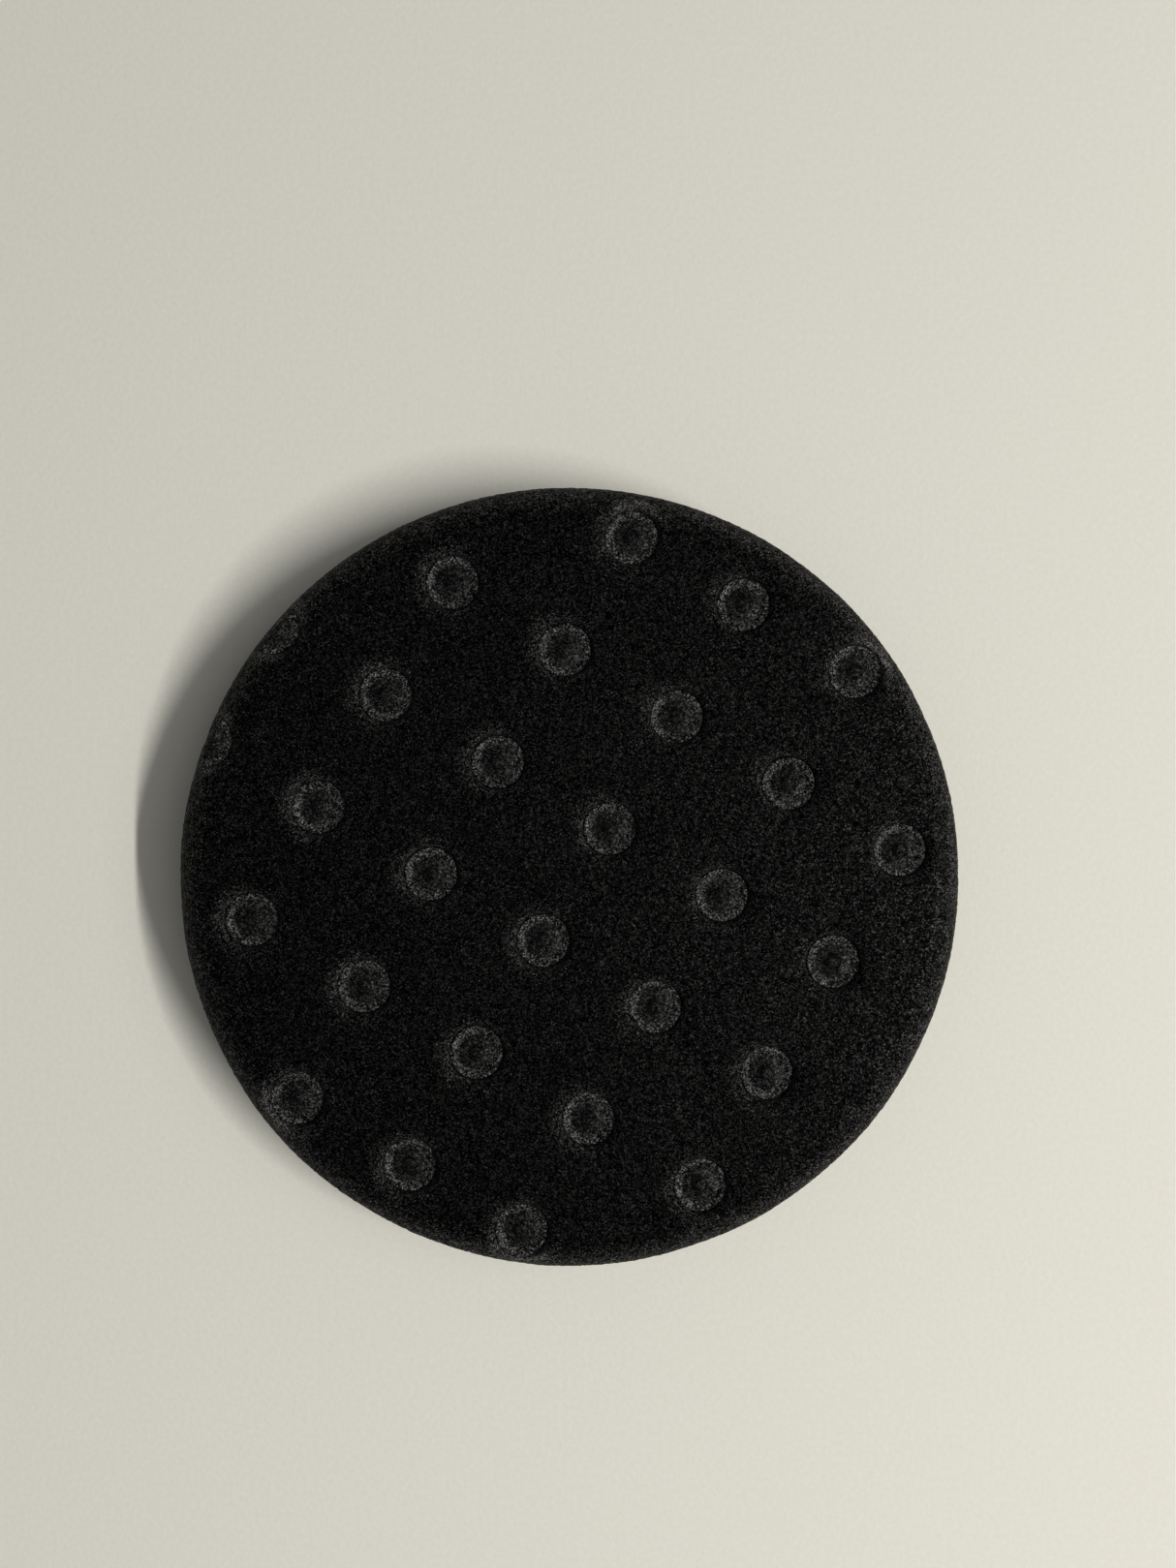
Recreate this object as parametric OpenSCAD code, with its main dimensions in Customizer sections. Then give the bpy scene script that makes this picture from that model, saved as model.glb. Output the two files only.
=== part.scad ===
// Foam polishing pad with pressed pockets in its face and a hook-and-loop back.
// The pad lies on its loops at z = 0, with its axis on +Z and its working face up.

/* [Pad] */
// Diameter over the foam
pad_d = 152.4; // [140:0.1:200]
// Thickness from the loops to the working face
pad_t = 22.2; // [20:0.1:35]
// Radius of the rounded edge around the working face
face_edge_r = 7.5; // [3:0.5:9]
// Diameter of the foam's back face, of the film and of the loop cloth
back_d = 139.7; // [120:0.1:139.9]
// Height of the sloping flank between the back face and the side
flank_h = 6; // [3:0.5:8]

/* [Pockets] */
// Distance between neighbouring pockets of the square grid
pocket_pitch = 25.05; // [21:0.05:40]
// Turn of the grid about the pad's axis, in degrees
grid_angle = -30.8; // [-45:0.1:45]
// Shift of the grid from the pad's axis along its first direction, as a share of the pitch
grid_shift_u = 0.059; // [0:0.001:1]
// Shift of the grid from the pad's axis along its second direction, as a share of the pitch
grid_shift_v = 0.485; // [0:0.001:1]
// Diameter of a pocket's floor
floor_d = 10; // [6:0.1:12]
// Depth of the floor's lowest ring under the working face
pocket_depth = 2.6; // [1.5:0.1:4]
// Width of the rounded lip between a pocket's wall and the working face
lip_w = 2.6; // [1:0.1:4]
// Height of a skin's turned-up rim above the floor's lowest ring
rim_h = 0.5; // [0.2:0.05:0.8]
// Height of the floor's domed middle above its lowest ring
dome_h = 0.5; // [0.1:0.05:0.8]
// Thickness of the collapsed skin under a pocket's floor
skin_t = 0.6; // [0.3:0.1:1]

/* [Nub] */
// Diameter of the nub's foot in the middle of each skin
nub_d = 3.2; // [2:0.1:3.6]
// Height of the nub above the dome
nub_h = 0.5; // [0.2:0.05:0.6]

/* [Backing] */
// Thickness of the adhesive film between foam and cloth
film_t = 0.25; // [0.1:0.05:0.5]
// Thickness of the knitted cloth that holds the loops
cloth_t = 0.55; // [0.3:0.05:1]
// Height of the loops under the cloth
pile_t = 1.2; // [0.6:0.1:2]
// Bare margin of cloth around the outermost loops
pile_margin = 0.8; // [0:0.1:3]

/* [Hidden] */
$fn = 96;

arc_steps = 10;
lip_steps = 7;
dome_steps = 6;
clear = 1;

pad_r = pad_d / 2;
back_r = back_d / 2;
floor_r = floor_d / 2;
nub_r = nub_d / 2;
cloth_z = pile_t;
film_z = cloth_z + cloth_t;
foam_z = film_z + film_t;
floor_z = pad_t - pocket_depth;

// A skin is lowest along a ring of this radius, between its dome and its turned-up rim.
valley_r = 0.68 * floor_r;

// The press leaves a pocket wherever its centre is on the foam or just past its edge.
reach = pad_r + floor_r / 4;
grid_span = ceil(reach / pocket_pitch) + 1;

function turned(p, a) = [p[0] * cos(a) - p[1] * sin(a), p[0] * sin(a) + p[1] * cos(a)];

pockets = [
    for (i = [-grid_span:grid_span], k = [-grid_span:grid_span])
        let (p = turned([i + grid_shift_u, k + grid_shift_v] * pocket_pitch, grid_angle))
        if (norm(p) < reach) p
];

// Outside of the foam: sloping flank, upright side, rounded edge and flat face.
module foam_envelope() {
    edge = [
        for (s = [0:arc_steps])
            let (a = 90 * s / arc_steps)
            [pad_r - face_edge_r * (1 - cos(a)), pad_t - face_edge_r * (1 - sin(a))]
    ];
    rotate_extrude()
        polygon(concat(
            [[0, foam_z], [back_r, foam_z], [pad_r, foam_z + flank_h]],
            edge,
            [[0, pad_t]]
        ));
}

// What the press takes out of one pocket, from under the skin to above the face.
module pocket_space() {
    lip = [
        for (s = [0:lip_steps])
            let (a = 90 * s / lip_steps)
            [floor_r + lip_w * (1 - cos(a)), floor_z + rim_h + (pocket_depth - rim_h) * sin(a)]
    ];
    rotate_extrude()
        polygon(concat(
            [[0, floor_z - skin_t], [floor_r, floor_z - skin_t]],
            lip,
            [[floor_r + lip_w, pad_t + clear], [0, pad_t + clear]]
        ));
}

// One skin of collapsed cells: a dish with a turned-up rim, a domed middle and a nub on top.
module skin() {
    dome = [
        for (s = [0:dome_steps])
            let (x = valley_r + (nub_r - valley_r) * s / dome_steps)
            [x, floor_z + dome_h * (1 - pow(x / valley_r, 2))]
    ];
    rotate_extrude()
        polygon(concat(
            [
                [0, floor_z - skin_t],
                [floor_r, floor_z - skin_t],
                [floor_r, floor_z + rim_h],
                [(floor_r + valley_r) / 2, floor_z + rim_h / 2]
            ],
            dome,
            [
                [nub_r * 0.6, floor_z + dome_h + nub_h],
                [0, floor_z + dome_h + nub_h]
            ]
        ));
}

module foam_disc() {
    color("#1b1b1c")
        difference() {
            foam_envelope();
            for (p = pockets)
                translate([p[0], p[1], 0])
                    pocket_space();
        }
}

module pocket_skins() {
    color("#3a3a3b")
        for (p = pockets)
            intersection() {
                translate([p[0], p[1], 0])
                    skin();
                foam_envelope();
            }
}

module bond_film() {
    color("#4a4843")
        translate([0, 0, film_z])
            cylinder(h = film_t, r = back_r);
}

module backing_cloth() {
    color("#2c2c2f")
        translate([0, 0, cloth_z])
            cylinder(h = cloth_t, r = back_r);
}

module loop_pile() {
    color("#38383c")
        cylinder(h = pile_t, r = back_r - pile_margin);
}

foam_disc();
pocket_skins();
bond_film();
backing_cloth();
loop_pile();
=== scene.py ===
"""Looks of the foam polishing pad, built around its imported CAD."""

import math

import bpy
import numpy as np
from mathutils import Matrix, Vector
from mathutils.geometry import delaunay_2d_cdt


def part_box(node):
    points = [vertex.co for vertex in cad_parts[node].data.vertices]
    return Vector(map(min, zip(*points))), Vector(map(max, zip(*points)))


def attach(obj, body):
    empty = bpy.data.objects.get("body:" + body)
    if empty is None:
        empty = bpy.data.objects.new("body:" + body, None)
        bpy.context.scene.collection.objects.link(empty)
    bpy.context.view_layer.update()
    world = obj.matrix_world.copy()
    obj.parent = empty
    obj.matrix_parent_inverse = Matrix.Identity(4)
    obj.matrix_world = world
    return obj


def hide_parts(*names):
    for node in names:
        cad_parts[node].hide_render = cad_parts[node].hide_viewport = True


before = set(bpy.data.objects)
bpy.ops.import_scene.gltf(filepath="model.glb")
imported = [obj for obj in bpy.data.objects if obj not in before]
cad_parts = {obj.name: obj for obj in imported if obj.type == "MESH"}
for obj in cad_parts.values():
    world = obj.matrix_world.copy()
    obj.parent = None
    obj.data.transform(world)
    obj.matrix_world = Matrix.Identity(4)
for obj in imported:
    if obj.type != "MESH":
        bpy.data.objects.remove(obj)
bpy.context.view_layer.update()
MM = 0.001
RNG = np.random.default_rng(7)
ROW = 0.87  # distance between rows of points, as a share of their spacing along a row


# ---------------------------------------------------------------- sizes, read from the CAD
def cad_points(node):
    """The corners of a CAD node's mesh, one row each."""
    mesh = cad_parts[node].data
    co = np.zeros(len(mesh.vertices) * 3)
    mesh.vertices.foreach_get("co", co)
    return co.reshape(-1, 3)


def islands(node):
    """The separate solids of a CAD node, as lists of points."""
    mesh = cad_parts[node].data
    co = cad_points(node)
    _, same = np.unique(np.round(co / (0.001 * MM)), axis=0, return_inverse=True)
    same = same.reshape(-1)
    label = np.arange(same.max() + 1)
    ends = np.array([(same[e.vertices[0]], same[e.vertices[1]]) for e in mesh.edges])
    while True:
        low = np.minimum(label[ends[:, 0]], label[ends[:, 1]])
        new = label.copy()
        np.minimum.at(new, ends[:, 0], low)
        np.minimum.at(new, ends[:, 1], low)
        new = new[new]
        if (new == label).all():
            break
        label = new
    return [co[label[same] == k] for k in np.unique(label[same])]


foam_points = cad_points("foam_disc")
foam_rho = np.hypot(foam_points[:, 0], foam_points[:, 1])
PAD_R = foam_rho.max()
FACE_Z = foam_points[:, 2].max()
FOAM_Z = foam_points[:, 2].min()
FACE_R = foam_rho[foam_points[:, 2] > FACE_Z - 0.01 * MM].max()
EDGE_R = PAD_R - FACE_R
FLANK_Z = foam_points[foam_rho > PAD_R - 0.02 * MM, 2].min()
BACK_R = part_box("backing_cloth")[1].x
PILE_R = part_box("loop_pile")[1].x
CLOTH_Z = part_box("backing_cloth")[0].z
FILM_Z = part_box("bond_film")[0].z


def pocket_grid():
    """Centres of all pockets, from the skins' solids, and the radius of a whole skin."""
    boxes = [(p.min(0)[:2], p.max(0)[:2]) for p in islands("pocket_skins")]
    middles = np.array([(a + b) / 2 for a, b in boxes])
    spans = np.array([(b - a).min() for a, b in boxes])
    whole = middles[spans > spans.max() - 0.1 * MM]
    apart = whole[:, None] - whole[None]
    gap = np.hypot(apart[..., 0], apart[..., 1])
    gap[gap < MM] = 1
    first = np.unravel_index(gap.argmin(), gap.shape)
    u = apart[first]
    v = np.array([-u[1], u[0]])
    steps = np.round(np.linalg.solve(np.array([u, v]).T, (middles - whole[0]).T)).T
    return whole[0] + steps @ np.array([u, v]), spans.max() / 2


POCKETS, SKIN_R = pocket_grid()
SKIN_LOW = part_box("pocket_skins")[0].z


# ---------------------------------------------------------------- small helpers
def new_object(name, points, faces):
    mesh = bpy.data.meshes.new(name)
    mesh.from_pydata(np.asarray(points, float).tolist(), [], faces)
    mesh.polygons.foreach_set("use_smooth", [True] * len(mesh.polygons))
    mesh.update()
    obj = bpy.data.objects.new(name, mesh)
    bpy.context.scene.collection.objects.link(obj)
    return obj


def attribute(obj, name, values):
    """Give each point of a mesh a value that the object's material can read."""
    layer = obj.data.attributes.new(name, "FLOAT", "POINT")
    layer.data.foreach_set("value", np.asarray(values, np.float32))


def normals(points, faces):
    """Smooth normals of a triangle mesh."""
    a, b, c = (points[faces[:, k]] for k in range(3))
    n = np.cross(b - a, c - a)
    out = np.zeros_like(points)
    for k in range(3):
        np.add.at(out, faces[:, k], n)
    return out / np.maximum(np.linalg.norm(out, axis=1, keepdims=True), 1e-12)


def smooth_min(a, b, width):
    """The lower of two heights, rounded off where they differ by less than the width."""
    h = np.clip(0.5 + 0.5 * (b - a) / width, 0, 1)
    return b * (1 - h) + a * h - width * h * (1 - h)


def even_circle(count, radius):
    """Evenly spaced points round a circle about the origin."""
    t = np.arange(count) * 2 * math.pi / count
    return np.stack([np.cos(t), np.sin(t)], 1) * radius


def ring_points(radius, spacing, jitter):
    """Points round a circle about the origin, unevenly shifted so that no pattern shows."""
    n = max(6, round(2 * math.pi * radius / spacing))
    t = (np.arange(n) + RNG.random()) * 2 * math.pi / n
    p = np.stack([np.cos(t), np.sin(t)], 1) * radius
    return p + (RNG.random(p.shape) - 0.5) * 2 * jitter


def in_turn(plan, chosen):
    """The numbers of the chosen points, in their order round the origin."""
    rim = np.flatnonzero(chosen)
    return rim[np.argsort(np.arctan2(plan[rim, 1], plan[rim, 0]))]


def triangulate(plan):
    """Triangles over a flat set of points, all facing up."""
    made = delaunay_2d_cdt([Vector(p) for p in plan.tolist()], [], [], 0, 1e-9)
    points = np.array([v[:] for v in made[0]])
    faces = np.array(made[2])
    a, b, c = (points[faces[:, k]] for k in range(3))
    area = np.cross(b - a, c - a)
    faces[area < 0] = faces[area < 0][:, ::-1]
    return points, faces


def wave(points, size, seed):
    """Smooth uneven noise of about unit strength, with lumps of the given size."""
    rng = np.random.default_rng(seed)
    count = 48
    total = np.zeros(len(points))
    for _ in range(count):
        d = rng.normal(size=3)
        k = d / np.linalg.norm(d) * 2 * math.pi / (size * rng.uniform(0.7, 1.5))
        total += np.sin(points @ k + rng.uniform(0, 2 * math.pi))
    return total / math.sqrt(count / 2)


def rough(count, depth):
    """A random height for each of some points, at most twice the given depth."""
    return RNG.normal(size=count).clip(-2, 2) * depth


# ---------------------------------------------------------------- foam disc
PROFILE_STEP = 0.1 * MM
SOFT_STEPS = 21  # profile points in each running mean, which rounds the corners off
TOP_STEP = 0.56 * MM  # spacing of the points on the face and the rounded edge
BACK_STEP = 0.8 * MM  # spacing of the points on the wall and the flank
BACK_POINTS = 500  # points round the foam's back
LIP_W = 2.6 * MM  # as lip_w in part.scad
WALL_R = SKIN_R + 0.08 * MM
WALL_RUN = 0.25 * MM  # how far a pocket's wall leans inwards
LIP_R = WALL_R + LIP_W
LIP_BLEND = 0.25 * MM  # how softly the lip runs into the face
LIP_END = LIP_R + 0.3 * MM  # the blend reaches no further
POCKET_DROP = FACE_Z - SKIN_LOW

# Within this radius of a pocket's centre, the points are rings of its own.
POCKET_R = 7.9 * MM
# The rings' radii: closest at the wall. Those within EVEN_R are hardly shifted.
POCKET_RINGS = MM * np.array([
    0.5, 2.2, 3.8, 4.6, 4.9, 5.0, 5.09, 5.12, 5.17, 5.26, 5.4, 5.6, 5.85, 6.15, 6.5, 6.9, 7.4
])
EVEN_R = 5.3 * MM

# Unevenness of the open cells: random for each point, and waves of two sizes.
CELL_DEPTH = 0.035 * MM
LUMP_SIZE, LUMP_DEPTH = 1.4 * MM, 0.02 * MM
SWELL_SIZE, SWELL_DEPTH = 22 * MM, 0.05 * MM
OPEN_DROP = 0.06 * MM  # how far the open cells lie under the CAD's surface


def outside_profile():
    """Arc length, radius and height along the outside, from the face's centre to the back."""
    turn = np.radians(np.linspace(0, 90, 31))
    line = [(0, FACE_Z)]
    line += [(FACE_R + EDGE_R * math.sin(t), FACE_Z - EDGE_R * (1 - math.cos(t))) for t in turn]
    line += [(PAD_R, FLANK_Z), (BACK_R, FOAM_Z)]
    line = np.array(line)
    at = np.concatenate([[0], np.cumsum(np.hypot(*np.diff(line, axis=0).T))])
    fine = np.arange(0, at[-1], PROFILE_STEP)
    rho, z = np.interp(fine, at, line[:, 0]), np.interp(fine, at, line[:, 1])
    soft = np.ones(SOFT_STEPS) / SOFT_STEPS
    keep = SOFT_STEPS // 2
    rho[keep:-keep] = np.convolve(rho, soft, "same")[keep:-keep]
    z[keep:-keep] = np.convolve(z, soft, "same")[keep:-keep]
    return fine, rho, z


ARC, ARC_RHO, ARC_Z = outside_profile()
TOP_ARC = FACE_R + EDGE_R * math.pi / 2


def rolled_up(plan):
    """Where points of the outside lie, seen from above, when given in its rolled-out plan."""
    s = np.hypot(plan[:, 0], plan[:, 1])
    return plan * (np.interp(s, ARC, ARC_RHO) / np.maximum(s, 1e-9))[:, None]


def rolled_out(xy):
    """The opposite of rolled_up, for points on the face and the rounded edge."""
    rho = np.hypot(xy[:, 0], xy[:, 1])
    bend = np.arcsin(np.clip((rho - FACE_R) / EDGE_R, 0, 1))
    arc = np.where(rho < FACE_R, rho, FACE_R + EDGE_R * bend)
    return xy * (arc / np.maximum(rho, 1e-9))[:, None]


def pocket_surface(r):
    """Height of the foam at distance r from a pocket's centre: quarter-round lip, then wall."""
    inside = np.clip((LIP_R - r) / LIP_W, 0, 1)
    lip = FACE_Z - LIP_W * (1 - np.sqrt(1 - inside**2))
    wall = np.clip((WALL_R - r) / WALL_RUN, 0, 1)
    well_above = FACE_Z + 5 * MM
    return np.where(r > LIP_R, well_above, lip - wall * (POCKET_DROP - LIP_W))


def nearest_pocket(xy):
    """Each point's distance from the nearest pocket's centre."""
    return np.linalg.norm(xy[:, None] - POCKETS[None], axis=2).min(1)


def foam_plan():
    """Points of the rolled-out outside: rows over all of it, and rings in the pockets."""
    plan = [np.zeros((1, 2))]
    s = 0.5 * MM
    while s < ARC[-1] - 0.3 * MM:
        on_top = s < TOP_ARC
        spacing = TOP_STEP if on_top else BACK_STEP
        ring = ring_points(s, spacing * s / np.interp(s, ARC, ARC_RHO), 0.22 * spacing)
        if on_top:
            ring = ring[nearest_pocket(rolled_up(ring)) > POCKET_R]
        plan.append(ring)
        s += spacing * ROW
    for centre in POCKETS:
        for r in POCKET_RINGS:
            ring = ring_points(r, TOP_STEP, (0.01 if r < EVEN_R else 0.08) * MM) + centre
            on_pad = np.hypot(ring[:, 0], ring[:, 1]) < PAD_R - 0.1 * MM
            plan.append(rolled_out(ring[on_pad]))
    plan.append(even_circle(BACK_POINTS, ARC[-1]))
    return np.concatenate(plan)


def foam_disc():
    """The foam as one closed mesh, with the turn of its lips and edge kept for the material."""
    plan, faces = triangulate(foam_plan())
    s = np.hypot(plan[:, 0], plan[:, 1])
    on_top = s < TOP_ARC
    xy = rolled_up(plan)
    z = np.interp(s, ARC, ARC_Z)
    r = nearest_pocket(xy)
    dug = smooth_min(z, pocket_surface(r), LIP_BLEND)
    points = np.column_stack([xy, np.where(on_top & (r < LIP_END), dug, z)])
    open_cells = np.where((r > SKIN_R) & (s < ARC[-1] - MM), 1.0, 0.0)
    shift = rough(len(points), CELL_DEPTH) - OPEN_DROP
    shift += wave(points, LUMP_SIZE, 3) * LUMP_DEPTH + wave(points, SWELL_SIZE, 4) * SWELL_DEPTH
    points = points + normals(points, faces) * (shift * open_cells)[:, None]
    points[:, 2] = np.minimum(points[:, 2], FACE_Z)
    rim = in_turn(plan, s > ARC[-1] - 0.01 * MM)
    middle = len(points)
    points = np.vstack([points, [[0, 0, FOAM_Z]]])
    faces = faces.tolist()
    faces += [[int(a), middle, int(b)] for a, b in zip(rim, np.roll(rim, -1))]
    obj = new_object("foam_disc_looks", points, faces)
    rho = np.interp(s, ARC, ARC_RHO)
    upright = math.pi / 2
    lip = np.arcsin(np.clip((LIP_R - r) / LIP_W, 0, 1)) / upright * on_top
    edge = np.where(on_top, np.arcsin(np.clip((rho - FACE_R) / EDGE_R, 0, 1)) / upright, 1)
    attribute(obj, "lip", np.append(lip, 0))
    attribute(obj, "edge", np.append(edge, 0))
    return obj


# ---------------------------------------------------------------- pocket skins
# The relief follows part.scad's, with its corners rounded.
FLOOR_DROP = 2.6 * MM  # as pocket_depth in part.scad
VALLEY_R = 0.68 * SKIN_R
TURN_R = 0.97 * SKIN_R  # where the turned-up rim is highest
NUB_R, NUB_H = 1.4 * MM, 0.5 * MM
DOME_H = 0.5 * MM
RIM_H = 0.48 * MM
SKIN_STEP = 0.34 * MM
SKIN_RINGS = np.concatenate([[0.3, 0.6], np.arange(0.85, 4.9, 0.22), [4.95]]) * MM
SKIN_LAP = 0.06 * MM  # how far a skin goes past the CAD's radius, into the pocket's wall
INSET = 0.8 * MM  # how far the cut skins stay inside the pad's outline
EDGE_GAP = 0.35 * MM  # how far they stay under the rounded edge
THINNEST = 0.2 * MM
UNDERSIDE = SKIN_LOW + 0.1 * MM
GRAIN_DEPTH = 0.03 * MM
SKIN_LUMP_SIZE, SKIN_LUMP_DEPTH = 2.2 * MM, 0.035 * MM


def skin_surface(r):
    """Height of a skin over its lowest ring: nub, dome and turned-up rim."""
    nub = NUB_H * np.exp(-((r / NUB_R) ** 6))
    dome = DOME_H * (1 - np.clip(r / VALLEY_R, 0, 1) ** 2)
    up = np.clip((r - VALLEY_R) / (TURN_R - VALLEY_R), 0, 1)
    rim = RIM_H * up**2 * (3 - 2 * up)
    return nub + dome + rim


def envelope(rho):
    """Height of the foam's plain top at distance rho from the axis."""
    over = np.clip((rho - FACE_R) / EDGE_R, 0, 1)
    return FACE_Z - EDGE_R * (1 - np.sqrt(1 - over**2))


def one_skin(centre):
    """Points, faces and distances from the middle of one closed skin."""
    disc = [np.zeros((1, 2))]
    for r in SKIN_RINGS:
        disc.append(ring_points(r, max(SKIN_STEP, r * 0.12), 0.05 * MM if r > MM else 0))
    count = len(ring_points(SKIN_R, SKIN_STEP, 0))
    disc.append(even_circle(count, SKIN_R + SKIN_LAP))
    flat, faces = triangulate(np.concatenate(disc))
    r = np.hypot(flat[:, 0], flat[:, 1])
    xy = flat + centre
    rho = np.hypot(xy[:, 0], xy[:, 1])
    xy = xy * np.minimum(1, (PAD_R - INSET) / rho)[:, None]
    rho = np.minimum(rho, PAD_R - INSET)
    top = FACE_Z - FLOOR_DROP + skin_surface(r) + rough(len(r), GRAIN_DEPTH)
    lumps = wave(np.column_stack([xy, top]), SKIN_LUMP_SIZE, 9) * SKIN_LUMP_DEPTH
    top = np.minimum(top + lumps, envelope(rho) - EDGE_GAP)
    low = np.minimum(UNDERSIDE, top - THINNEST)
    rim = in_turn(flat, r > SKIN_R + 0.5 * SKIN_LAP)
    points = np.vstack([
        np.column_stack([xy, top]),
        np.column_stack([xy[rim], low[rim]]),
        [[*centre, low.min()]],
    ])
    faces = faces.tolist()
    middle = len(points) - 1
    for k, a in enumerate(rim):
        after = (k + 1) % len(rim)
        b, c, d = rim[after], len(flat) + after, len(flat) + k
        faces += [[int(a), d, c], [int(a), c, int(b)], [d, middle, c]]
    return points, faces, np.concatenate([r, r[rim], [0]])


def pocket_skins():
    """All skins in one mesh, with each point's distance from its skin's middle."""
    points, faces, out = [], [], []
    start = 0
    for centre in POCKETS:
        skin_points, skin_faces, r = one_skin(centre)
        points.append(skin_points)
        faces += [[start + corner for corner in face] for face in skin_faces]
        out.append(r)
        start += len(skin_points)
    obj = new_object("pocket_skins_looks", np.concatenate(points), faces)
    attribute(obj, "from_middle", np.concatenate(out) / SKIN_R)
    return obj


# ---------------------------------------------------------------- film, cloth and loops
LOOP_STEP = 1.75 * MM
LOOP_CORNERS = 3  # of the thread's section
LOOP_TURN = np.linspace(0, math.pi, 6)
LOOP_ROOT = 0.1 * MM  # how far a loop's ends reach into the cloth
BRUSHED = np.array([0.35, 0.15]) * MM  # how far the loops lean over, on average


def disc_solid(name, radius, low, high, spacing, wobble):
    """A thin closed disc with an uneven edge."""
    plan = [np.zeros((1, 2))]
    r = spacing
    while r < radius - 0.5 * spacing:
        plan.append(ring_points(r, spacing, 0.1 * spacing))
        r += spacing * ROW
    plan.append(even_circle(round(2 * math.pi * radius / spacing), radius))
    flat, faces = triangulate(np.concatenate(plan))
    r = np.hypot(flat[:, 0], flat[:, 1])
    ragged = wave(np.column_stack([flat, flat[:, 0] * 0]), 3 * MM, 21)
    uneven = 1 - wobble * (1 + ragged).clip(0, 2)
    flat = flat * np.where(r > radius - 2 * MM, uneven, 1)[:, None]
    rim = in_turn(flat, r > radius - 0.01 * MM)
    m = len(flat)
    points = np.vstack([np.column_stack([flat, np.full(m, z)]) for z in (high, low)])
    faces = faces.tolist() + (faces[:, ::-1] + m).tolist()
    for a, b in zip(rim, np.roll(rim, -1)):
        faces.append([int(a), int(a) + m, int(b) + m, int(b)])
    return new_object(name, points, faces)


def one_loop(foot):
    """Points of a loop that hangs from the cloth at one place, a row for each corner."""
    way = RNG.normal(0.5, 0.9)
    lean = BRUSHED + RNG.normal(size=2) * 0.25 * MM
    tall = CLOTH_Z * RNG.uniform(0.72, 0.97)
    wide = RNG.uniform(0.3, 0.5) * MM
    thick = RNG.uniform(0.09, 0.13) * MM
    along = np.array([math.cos(way), math.sin(way)])
    across, drop = np.cos(LOOP_TURN), np.sin(LOOP_TURN)
    spine = np.column_stack([
        foot[0] - across * wide * along[0] + drop * lean[0],
        foot[1] - across * wide * along[1] + drop * lean[1],
        CLOTH_Z + LOOP_ROOT - drop * tall,
    ])
    side = np.array([-along[1], along[0], 0])
    out = np.column_stack([-across[:, None] * along[None], -drop])
    corners = [2 * math.pi * c / LOOP_CORNERS for c in range(LOOP_CORNERS)]
    return [spine + thick * (math.cos(a) * side + math.sin(a) * out) for a in corners]


def loop_faces(start):
    """Sides and end caps of the loop whose points begin at the given number."""
    n = len(LOOP_TURN)
    rows = [start + c * n for c in range(LOOP_CORNERS)]
    faces = []
    for a, b in zip(rows, rows[1:] + rows[:1]):
        faces += [[a + q + 1, b + q + 1, b + q, a + q] for q in range(n - 1)]
    return faces + [rows, [a + n - 1 for a in reversed(rows)]]


def loop_pile():
    """Thousands of small nylon loops, which lean mostly one way."""
    points, faces = [], []
    half = int(PILE_R / LOOP_STEP) + 1
    for i in range(-half, half + 1):
        for k in range(-half, half + 1):
            foot = np.array([(i + 0.5 * (k % 2)) * LOOP_STEP, k * LOOP_STEP * ROW])
            foot = foot + (RNG.random(2) - 0.5) * 0.9 * MM
            if np.hypot(*foot) > PILE_R - 0.7 * MM:
                continue
            faces += loop_faces(len(points) * len(LOOP_TURN))
            points += one_loop(foot)
    points = np.concatenate(points)
    points[:, 2] = points[:, 2].clip(0, None)
    return new_object("loop_pile_looks", points, faces)


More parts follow.
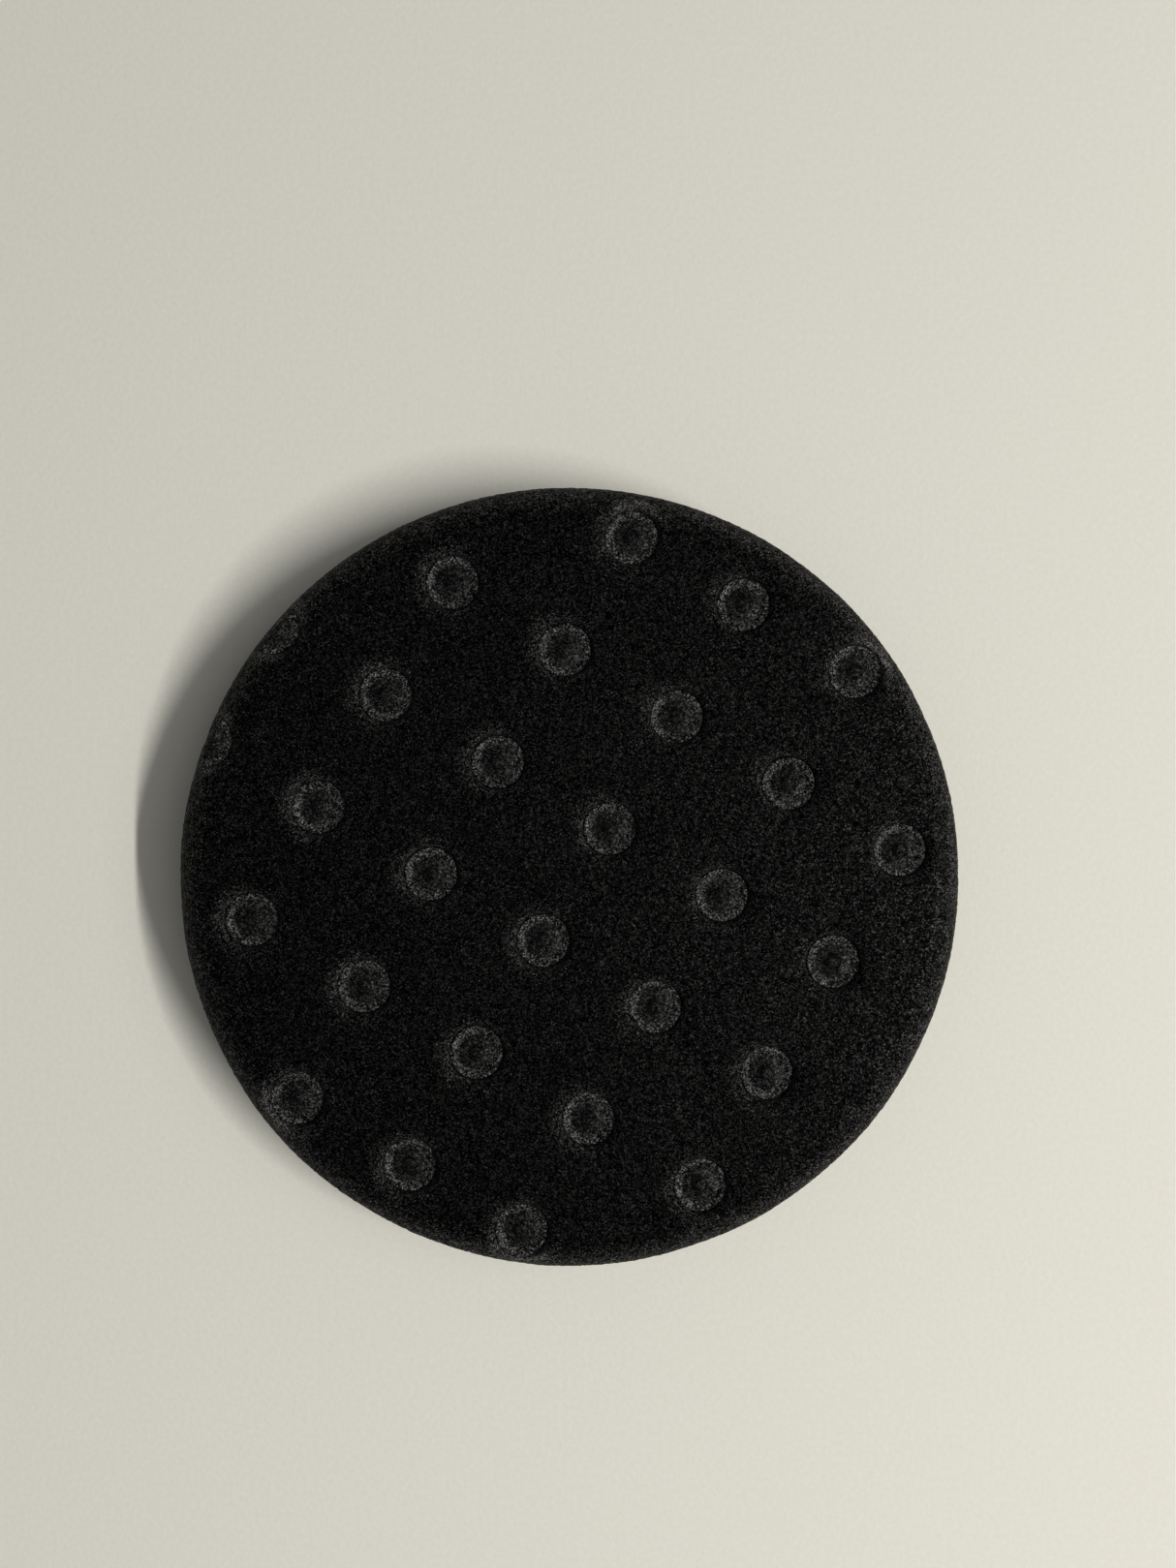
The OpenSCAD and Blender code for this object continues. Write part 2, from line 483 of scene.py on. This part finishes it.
# ---------------------------------------------------------------- materials
class Nodes:
    """A short way to write a node material."""

    def __init__(self, name):
        self.mat = bpy.data.materials.new(name)
        self.mat.use_nodes = True
        self.tree = self.mat.node_tree
        self.bsdf = next(n for n in self.tree.nodes if n.type == "BSDF_PRINCIPLED")

    def add(self, kind, **values):
        node = self.tree.nodes.new("ShaderNode" + kind)
        for key, value in values.items():
            setattr(node, key, value)
        return node

    def put(self, socket, value):
        """Link a socket to another one, or set it to a constant."""
        if isinstance(value, bpy.types.NodeSocket):
            self.tree.links.new(value, socket)
        else:
            socket.default_value = value

    def surface(self, color, roughness, specular=0.5):
        self.put(self.bsdf.inputs["Base Color"], color)
        self.put(self.bsdf.inputs["Roughness"], roughness)
        self.put(self.bsdf.inputs["Specular IOR Level"], specular)

    def math(self, operation, a, b):
        node = self.add("Math", operation=operation)
        self.put(node.inputs[0], a)
        self.put(node.inputs[1], b)
        return node.outputs[0]

    def product(self, first, *others):
        for other in others:
            first = self.math("MULTIPLY", first, other)
        return first

    def ramp(self, value, low, high, to_low=0.0, to_high=1.0):
        """Map low..high to to_low..to_high; values outside get the nearer end."""
        node = self.add("MapRange")
        self.put(node.inputs["Value"], value)
        self.put(node.inputs["From Min"], low)
        self.put(node.inputs["From Max"], high)
        self.put(node.inputs["To Min"], to_low)
        self.put(node.inputs["To Max"], to_high)
        return node.outputs["Result"]

    def mix(self, amount, a, b):
        """Mix two colours, which are the node's inputs 6 and 7, into its output 2."""
        node = self.add("Mix", data_type="RGBA")
        self.put(node.inputs["Factor"], amount)
        self.put(node.inputs[6], a)
        self.put(node.inputs[7], b)
        return node.outputs[2]

    def texture(self, kind, scale, **values):
        """A texture that is fixed to the object, with its scale in repeats per metre."""
        node = self.add(kind, **values)
        self.put(node.inputs["Vector"], self.add("TexCoord").outputs["Object"])
        self.put(node.inputs["Scale"], scale)
        return node

    def noise(self, scale, detail=2.0):
        node = self.texture("TexNoise", scale)
        self.put(node.inputs["Detail"], detail)
        return node.outputs["Fac"]

    def cells(self, scale, feature="F1"):
        return self.texture("TexVoronoi", scale, feature=feature).outputs["Distance"]

    def pore_tone(self, scale):
        """A random tone for each cell of the foam."""
        tone = self.add("SeparateColor")
        self.put(tone.inputs["Color"], self.texture("TexVoronoi", scale).outputs["Color"])
        return tone.outputs["Red"]

    def value(self, name):
        """A value that attribute() gave to the mesh."""
        return self.add("Attribute", attribute_name=name).outputs["Fac"]

    def bump(self, height, strength, distance):
        node = self.add("Bump")
        self.put(node.inputs["Height"], height)
        self.put(node.inputs["Strength"], strength)
        self.put(node.inputs["Distance"], distance)
        self.put(self.bsdf.inputs["Normal"], node.outputs["Normal"])


# Repeats per metre of the foam's patterns.
PORES = 4300.0
STRUTS = 3300.0
FOAM_GLINTS = 3600.0
SKIN_GLINTS = 3000.0
PATCHES = 700.0
FOAM_ROUGHNESS = 0.45


def grey(value, warm=0.0):
    return (value * (1 + warm), value, value * (1 - warm), 1.0)


def foam_material():
    """Open cells: black, with lighter struts, some of which shine."""
    m = Nodes("foam_looks")
    # How much lighter the foam is than on the flat face. Round the pockets this is partly paler
    # pressed foam and partly painted sheen; on the rounded edge it is painted sheen, weaker on the
    # upright wall.
    lip, edge = m.value("lip"), m.value("edge")
    lip_paleness_and_sheen = m.product(m.math("POWER", lip, 0.8), m.ramp(lip, 0.7, 0.95, 2.7, 1.1))
    # Painted sheen on the rounded edge, less where the edge turns upright.
    rim = m.math("ADD", m.ramp(edge, 0.05, 0.4, 0.0, 1.8), m.ramp(edge, 0.55, 0.8, 0.0, 0.4))
    rim = m.math("ADD", rim, m.ramp(edge, 0.8, 1.0, 0.0, -1.0))
    paleness_and_sheen = m.math("ADD", lip_paleness_and_sheen, rim)
    # Colour.
    light = m.math("POWER", m.pore_tone(PORES), m.ramp(paleness_and_sheen, 0.0, 2.5, 5.5, 1.5))
    struts = m.ramp(m.cells(STRUTS, "DISTANCE_TO_EDGE"), 0.0, 0.2, 1.0, 0.3)
    patches = m.ramp(m.noise(PATCHES, 3.0), 0.3, 0.7, 0.6, 1.4)
    # The cells' tone, made lighter by the paler lips and the painted sheen.
    tone_and_sheen = m.product(light, struts, patches, m.math("ADD", paleness_and_sheen, 1.0), 0.1)
    bright = m.mix(edge, grey(0.86), (0.9, 0.88, 0.82, 1.0))
    # Shine, which is weaker on the lips and the edge.
    glint = m.math("POWER", m.pore_tone(FOAM_GLINTS), 6.0)
    flat = m.product(m.ramp(lip, 0.0, 0.29, 1.0, 0.2), m.ramp(edge, 0.3, 0.9, 1.0, 0.4))
    shine = m.ramp(m.product(glint, struts, flat), 0.0, 1.0, 0.01, 0.86)
    m.surface(m.mix(tone_and_sheen, grey(0.0005), bright), FOAM_ROUGHNESS, shine)
    m.bump(struts, 0.1, 0.2 * MM)
    return m.mat


def skin_material():
    """Collapsed cells: a light grainy ring round a darker middle."""
    m = Nodes("collapsed_foam_looks")
    out = m.value("from_middle")
    ring = m.ramp(out, 0.6, 0.84)
    middle = m.ramp(out, 0.28, 0.4, 0.75, 1.0)
    tone = m.math("POWER", m.pore_tone(PORES), 3.5)
    glint = m.math("POWER", m.pore_tone(SKIN_GLINTS), 3.0)
    color = m.mix(tone, grey(0.003), m.mix(ring, grey(0.1), grey(0.29)))
    shine = m.product(glint, middle, m.ramp(ring, 0.0, 1.0, 1.0, 0.8))
    shine = m.ramp(shine, 0.0, 1.0, 0.02, 0.55)
    m.surface(m.mix(middle, grey(0.0), color), FOAM_ROUGHNESS, shine)
    m.bump(tone, 0.3, 0.12 * MM)
    return m.mat


def film_material():
    m = Nodes("film_looks")
    m.surface(m.mix(m.noise(300.0), grey(0.03, 0.1), grey(0.06, 0.1)), 0.45)
    return m.mat


def cloth_material():
    m = Nodes("cloth_looks")
    knit = m.cells(1400.0)
    m.surface(m.mix(knit, grey(0.016), grey(0.004)), 0.8)
    m.bump(knit, 0.6, 0.2 * MM)
    return m.mat


def pile_material():
    m = Nodes("pile_looks")
    m.surface(m.mix(m.noise(900.0), grey(0.035), grey(0.09)), 0.45)
    return m.mat


def paper_material():
    m = Nodes("paper")
    fibres = m.noise(900.0, 4.0)
    color = m.mix(fibres, (0.77, 0.765, 0.712, 1), (0.83, 0.825, 0.772, 1))
    m.surface(color, 0.9, 0.15)
    m.bump(fibres, 0.25, 0.2 * MM)
    return m.mat


# ---------------------------------------------------------------- put the pieces on the frame
def dress(obj, node, material):
    """Give a piece its material, hang it on the root body, and hide the CAD node that it replaces.
    """
    obj.data.materials.append(material)
    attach(obj, "root")
    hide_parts(node)


foam = foam_disc()
dress(foam, "foam_disc", foam_material())
dress(pocket_skins(), "pocket_skins", skin_material())
film = disc_solid("bond_film_looks", BACK_R, FILM_Z, FOAM_Z, 2.5 * MM, 0.002)
dress(film, "bond_film", film_material())
cloth = disc_solid("backing_cloth_looks", BACK_R, CLOTH_Z, FILM_Z, 1.2 * MM, 0.003)
dress(cloth, "backing_cloth", cloth_material())
dress(loop_pile(), "loop_pile", pile_material())


# ---------------------------------------------------------------- floor, light and camera
FLOOR_HALF = 3.0
signs = [(-1, -1), (1, -1), (1, 1), (-1, 1)]
floor_corners = [(x * FLOOR_HALF, y * FLOOR_HALF, 0) for x, y in signs]
floor = new_object("floor", floor_corners, [[0, 1, 2, 3]])
floor.data.materials.append(paper_material())


def area_light(name, place, size, power):
    """A rectangle of daylight that faces the floor's middle line; its size is (across, along Y)."""
    data = bpy.data.lights.new(name, "AREA")
    data.shape = "RECTANGLE"
    data.size, data.size_y = size
    data.energy = power
    data.color = (1.0, 0.985, 0.95)
    light = bpy.data.objects.new(name, data)
    light.location = place
    light.rotation_euler = (0, math.atan2(place[0], place[2]), 0)
    bpy.context.scene.collection.objects.link(light)


area_light("window", place=(1.01, -0.38, 1.305), size=(0.05, 1.04), power=21.5)
area_light("room", place=(0.8, 0.0, 1.6), size=(1.5, 1.5), power=9.0)

world = bpy.data.worlds.new("world")
bpy.context.scene.world = world
world.use_nodes = True
sky = world.node_tree.nodes["Background"]
sky.inputs["Color"].default_value = (1.0, 1.0, 1.0, 1.0)
sky.inputs["Strength"].default_value = 0.16

# The lens is assumed. With it, the camera's place was fitted to the pockets in the photograph.
camera_data = bpy.data.cameras.new("camera")
camera_data.lens = 27.04
camera_data.sensor_width = 36.0
camera_data.clip_start, camera_data.clip_end = 0.01, 20
camera = bpy.data.objects.new("camera", camera_data)
camera.location = (0.88 * MM, 19.7 * MM, FACE_Z + 224.2 * MM)
camera.rotation_euler = (-0.0064, -0.0106, 0)
bpy.context.scene.collection.objects.link(camera)
bpy.context.scene.camera = camera

# The gamma is a fitted value, which stands for the photograph's strong contrast.
bpy.context.scene.view_settings.view_transform = "Standard"
bpy.context.scene.view_settings.gamma = 0.75
